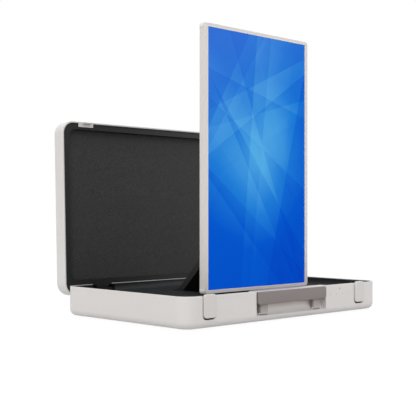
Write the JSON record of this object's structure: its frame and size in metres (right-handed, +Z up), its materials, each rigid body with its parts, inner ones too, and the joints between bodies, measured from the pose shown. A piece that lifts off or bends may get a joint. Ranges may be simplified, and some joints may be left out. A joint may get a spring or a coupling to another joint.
{
  "type": "briefcase television",
  "caption": "Portable television in a hard hinged carrying case: flat screen on a folding arm, latches, carrying handle.",
  "frame": {"origin": "middle of the case's footprint, on the surface that its feet stand on", "axes": "+Z up, -Y to the side with the handle and the latches, +X to the right seen from that side"},
  "size_m": [0.6713, 0.4903, 0.6798],
  "materials": {
    "cream_shell": "fine moulded texture, satin",
    "cream_rubber": "matt",
    "peach_lip": "matt",
    "slate_plastic": "satin",
    "speckled_lining": "fine pebbled speckle",
    "black_rubber": "matt",
    "black_plastic": "fine texture",
    "grille_black": "matt",
    "taupe_grip": "soft touch",
    "dark_aluminium": "black anodised",
    "steel": "plain",
    "dark_steel": "black coat",
    "green_board": "solder mask",
    "cone_black": "matt",
    "screen": "glossy picture, blue facets"
  },
  "bodies": {
    "base": {"base_shell": "cream_shell", "base_tray": "slate_plastic", "rubber_feet": "black_rubber", "battery_pack": "black_plastic", "main_board": "green_board", "heat_sink": "dark_aluminium", "microphone_board": "green_board", "port_panel": "slate_plastic", "port_sockets": "steel", "port_board": "green_board", "power_switch": "green_board", "handle_pins": "steel", "latch_pins": "steel", "latch_springs": "steel", "lid_hinge_pins": "steel", "arm_bracket": "steel", "arm_lower_pin": "steel", "lower_friction_packs": "steel", "latch_box_left": "slate_plastic", "latch_box_right": "slate_plastic", "lid_hinge_leaf_left": "dark_steel", "lid_hinge_leaf_right": "dark_steel", "speaker_box_left": "black_plastic", "speaker_box_right": "black_plastic", "speaker_drivers_left": "cone_black", "speaker_drivers_right": "cone_black", "speaker_grille_left": "grille_black", "speaker_grille_right": "grille_black"},
    "lid": {"lid_shell": "cream_shell", "lid_frame": "slate_plastic", "lid_panel": "speckled_lining", "lid_seal": "black_rubber", "lid_catches": "cream_shell", "catch_strikers": "steel", "lid_hinge_arm_left": "dark_steel", "lid_hinge_arm_right": "dark_steel"},
    "arm": {"arm_frame": "dark_aluminium", "arm_cover_rear": "black_plastic", "arm_cover_front": "black_plastic", "arm_cable": "cone_black"},
    "carrier": {"carrier_plate": "dark_aluminium", "carrier_cover": "black_plastic", "arm_upper_pin": "steel", "upper_friction_packs": "steel"},
    "display": {"swivel_hub": "dark_aluminium", "swivel_retainer": "dark_aluminium", "display_bezel": "cream_shell", "display_trim": "peach_lip", "display_glass": "screen", "panel_module": "black_plastic", "display_board": "green_board", "display_mount": "steel", "display_back": "cream_shell", "corner_bumpers": "cream_rubber"},
    "handle": {"handle_grip": "taupe_grip", "handle_bail": "cream_shell"},
    "latch_left": {"latch_lever_left": "cream_shell"},
    "latch_right": {"latch_lever_right": "cream_shell"},
    "power_button": {"power_button": "cream_shell"}
  },
  "joints": [
    {"name": "lid_hinge", "type": "hinge", "parent": "base", "child": "lid", "pos_m": [0, 0.201, 0.058], "axis": [-1, 0, 0], "range_deg": [-38, 0]},
    {"name": "arm_lift", "type": "hinge", "parent": "base", "child": "arm", "pos_m": [0, 0.1223, 0.037], "axis": [-1, 0, 0], "range_deg": [0, 55]},
    {"name": "display_tilt", "type": "hinge", "parent": "arm", "child": "carrier", "pos_m": [0, -0.072, 0.2293], "axis": [1, 0, 0], "range_deg": [-1, 56]},
    {"name": "display_turn", "type": "hinge", "parent": "carrier", "child": "display", "pos_m": [0, -0.0905, 0.371], "axis": [0, 1, 0], "range_deg": [-1, 91]},
    {"name": "handle_swing", "type": "hinge", "parent": "base", "child": "handle", "pos_m": [0, -0.208, 0.021], "axis": [1, 0, 0], "range_deg": [0, 90]},
    {"name": "latch_left_swing", "type": "hinge", "parent": "base", "child": "latch_left", "pos_m": [-0.268, -0.209, 0.0296], "axis": [1, 0, 0], "range_deg": [0, 25], "stiffness_Nm_per_rad": 0.3, "springref_deg": -11.46},
    {"name": "latch_right_swing", "type": "hinge", "parent": "base", "child": "latch_right", "pos_m": [0.254, -0.209, 0.0296], "axis": [1, 0, 0], "range_deg": [0, 25], "stiffness_Nm_per_rad": 0.3, "springref_deg": -11.46},
    {"name": "power_button_press", "type": "slide", "parent": "base", "child": "power_button", "axis": [-1, 0, 0], "range_m": [0, 0.001], "stiffness_N_per_m": 800, "springref_m": -0.001}
  ],
  "couplings": [
    {"joint": "display_tilt", "follows": "arm_lift", "ratio": 1},
    {"joint": "display_turn", "follows": "arm_lift", "ratio": 1.6364}
  ]
}
